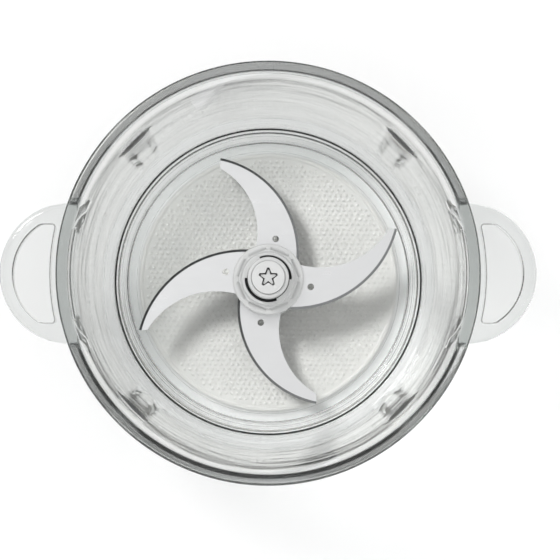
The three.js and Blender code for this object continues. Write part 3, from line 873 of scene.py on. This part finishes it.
OCTAGON_FLAT_R = 12.8
SLOT_MIDDLES = (55, 235)
SLOT_HALF_SWEEP = 57
SCREW_HOLE_TOP = 43.3
collar = turned_piece(
    "collar",
    [(9.5, COLLAR_LOW + 1, 0), (9.5, COLLAR_LOW, 0.2), (COLLAR_R, COLLAR_LOW, 0.4), (COLLAR_R, 42, 0.8),
     (12.0, 42, 0.3), (12.4, 44.6, 0.2), (11.8, COLLAR_TOP, 0.7), (9.5, COLLAR_TOP, 0.25), (9.5, 45.8, 0.1),
     (10.6, 45.8, 0.2), (10.6, 44, 0.2), (9.5, 44, 0.1), (9.5, 43, 0)],
)
octagon = rod(OCTAGON_FLAT_R / math.cos(math.pi / 8), 41, 44.6, vertices=8)
bevel(octagon, 1.0, 5, 30)
combine(octagon, rod(11, 40, 46), "DIFFERENCE")
combine(collar, octagon, "UNION")
for middle in SLOT_MIDDLES:
    first, last = middle - SLOT_HALF_SWEEP, middle + SLOT_HALF_SWEEP
    slot = plate("slot", arc(0, 0, 10.6, first, last) + arc(0, 0, 9.2, last, first), 45.5, COLLAR_TOP + 1)
    combine(collar, slot, "DIFFERENCE")
drill_screw_holes(collar, COLLAR_LOW - 1, SCREW_HOLE_TOP)
flatten_shading(collar, 30)
finish_piece(collar, "hub_collar", "blade_rotor", hub_plastic)


def star_outline(inset):
    """A five-pointed star with blunt points and valleys, drawn in by an inset, in mm."""
    points = []
    for k in range(5):
        point, valley = 90 + 72 * k, 126 + 72 * k
        points += arc(0, 0, STAR_POINT_R - inset, point - POINT_HALF, point + POINT_HALF, 4)
        points += arc(0, 0, STAR_VALLEY_R - inset, valley - VALLEY_HALF, valley + VALLEY_HALF, 2)
    return points


low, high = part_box("drive_socket")[0].z / MM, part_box("drive_socket")[1].z / MM
SOCKET_R = 7.4
socket = turned_piece(
    "socket", [(0, low, 0), (SOCKET_R, low, 0.3), (SOCKET_R, high, 0.4), (0, high, 0)], closed=False
)
combine(socket, plate("star", star_outline(0), STAR_GROOVE_LOW, high + 1), "DIFFERENCE")
combine(socket, plate("star_floor", star_outline(STAR_GROOVE), STAR_GROOVE_LOW - 0.8, STAR_FLOOR), "UNION")
bevel(socket, 0.06, 2, 40)
finish_piece(socket, "drive_socket", "blade_rotor", hub_plastic)


# ---------------------------------------------------------------- seals, bushes and thrust pad
# Black nitrile rings keep food out of the bore and out of the joint under the collar. Two acetal
# bushes run on the pin, and a hardened disc at the top of the bore carries the weight on the pin's dome.

black_rubber, tree, principled = finish_material("black_rubber", base_color=(0.018, 0.018, 0.02, 1))
dust = speckle(tree, object_place(tree), 400.0)
feed(tree, principled, roughness=0.55 + dust * 0.2)

black_acetal, tree, principled = finish_material("black_acetal", base_color=(0.03, 0.031, 0.033, 1))
marks = speckle(tree, object_place(tree), 250.0, 3.0)
feed(tree, principled, roughness=0.35 + marks * 0.15)

for node, name, slot_name, material, rounding in (
    ("hub_seal", "collar_seal", "black_rubber", black_rubber, 0.45),
    ("foot_seal", "bore_seal", "black_rubber", black_rubber, 0.3),
    ("lower_bush", "bush_low", "bush_plastic", black_acetal, 0.3),
    ("upper_bush", "bush_high", "bush_plastic", black_acetal, 0.3),
):
    low, high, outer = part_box(node)[0].z / MM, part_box(node)[1].z / MM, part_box(node)[1].x / MM
    middle = (low + high) / 2
    inner = 9.45 if node == "hub_seal" else 4.25
    ring = turned_piece(
        name,
        [(inner, middle, 0), (inner, low, rounding), (outer, low, rounding), (outer, high, rounding),
         (inner, high, rounding), (inner, middle + 0.01, 0)], steps=72,
    )
    finish_piece(ring, node, "blade_rotor", material)

corner_low, corner_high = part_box("thrust_pad")
low, high, outer = corner_low.z / MM, corner_high.z / MM, corner_high.x / MM
thrust_disc = turned_piece(
    "thrust_disc", [(0, low, 0), (outer, low, 0.3), (outer, high, 0.3), (0, high, 0)], steps=64, closed=False
)
finish_piece(thrust_disc, "thrust_pad", "blade_carrier", pin_steel)


# ---------------------------------------------------------------- clamp screws
# Four stainless pan-head screws with a cross recess, driven up through the base into the collar.

RECESS_LENGTH, RECESS_WIDTH, RECESS_DEPTH = 2.4 * MM, 0.5 * MM, 0.7 * MM

for k, (from_axis, turn) in enumerate(SCREW_PLACES):
    node = f"clamp_screw_{k + 1}"
    low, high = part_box(node)[0].z / MM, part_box(node)[1].z / MM
    screw = turned_piece(
        f"screw_{k + 1}",
        [(0, low, 0), (2.4, low, 0.9), (2.4, low + 1.3, 0.15), (1.3, low + 1.3, 0.1), (1.3, high - 1, 0.3),
         (0.5, high, 0.2), (0, high, 0)], steps=32, closed=False,
    )
    for quarter in (0, 90):
        bpy.ops.object.select_all(action="DESELECT")
        bpy.ops.mesh.primitive_cube_add(
            size=1, location=(0, 0, low * MM), rotation=(0, 0, math.radians(quarter)),
            scale=(RECESS_LENGTH, RECESS_WIDTH, 2 * RECESS_DEPTH),
        )
        combine(screw, bpy.context.object, "DIFFERENCE")
    bpy.ops.object.shade_smooth_by_angle(angle=math.radians(35))
    x, y = from_axis * math.cos(math.radians(turn)), from_axis * math.sin(math.radians(turn))
    bpy.ops.object.mode_set(mode="EDIT")
    bpy.ops.mesh.select_all(action="SELECT")
    bpy.ops.transform.translate(value=(x * MM, y * MM, 0))
    bpy.ops.object.mode_set(mode="OBJECT")
    finish_piece(screw, node, "blade_rotor", pin_steel)
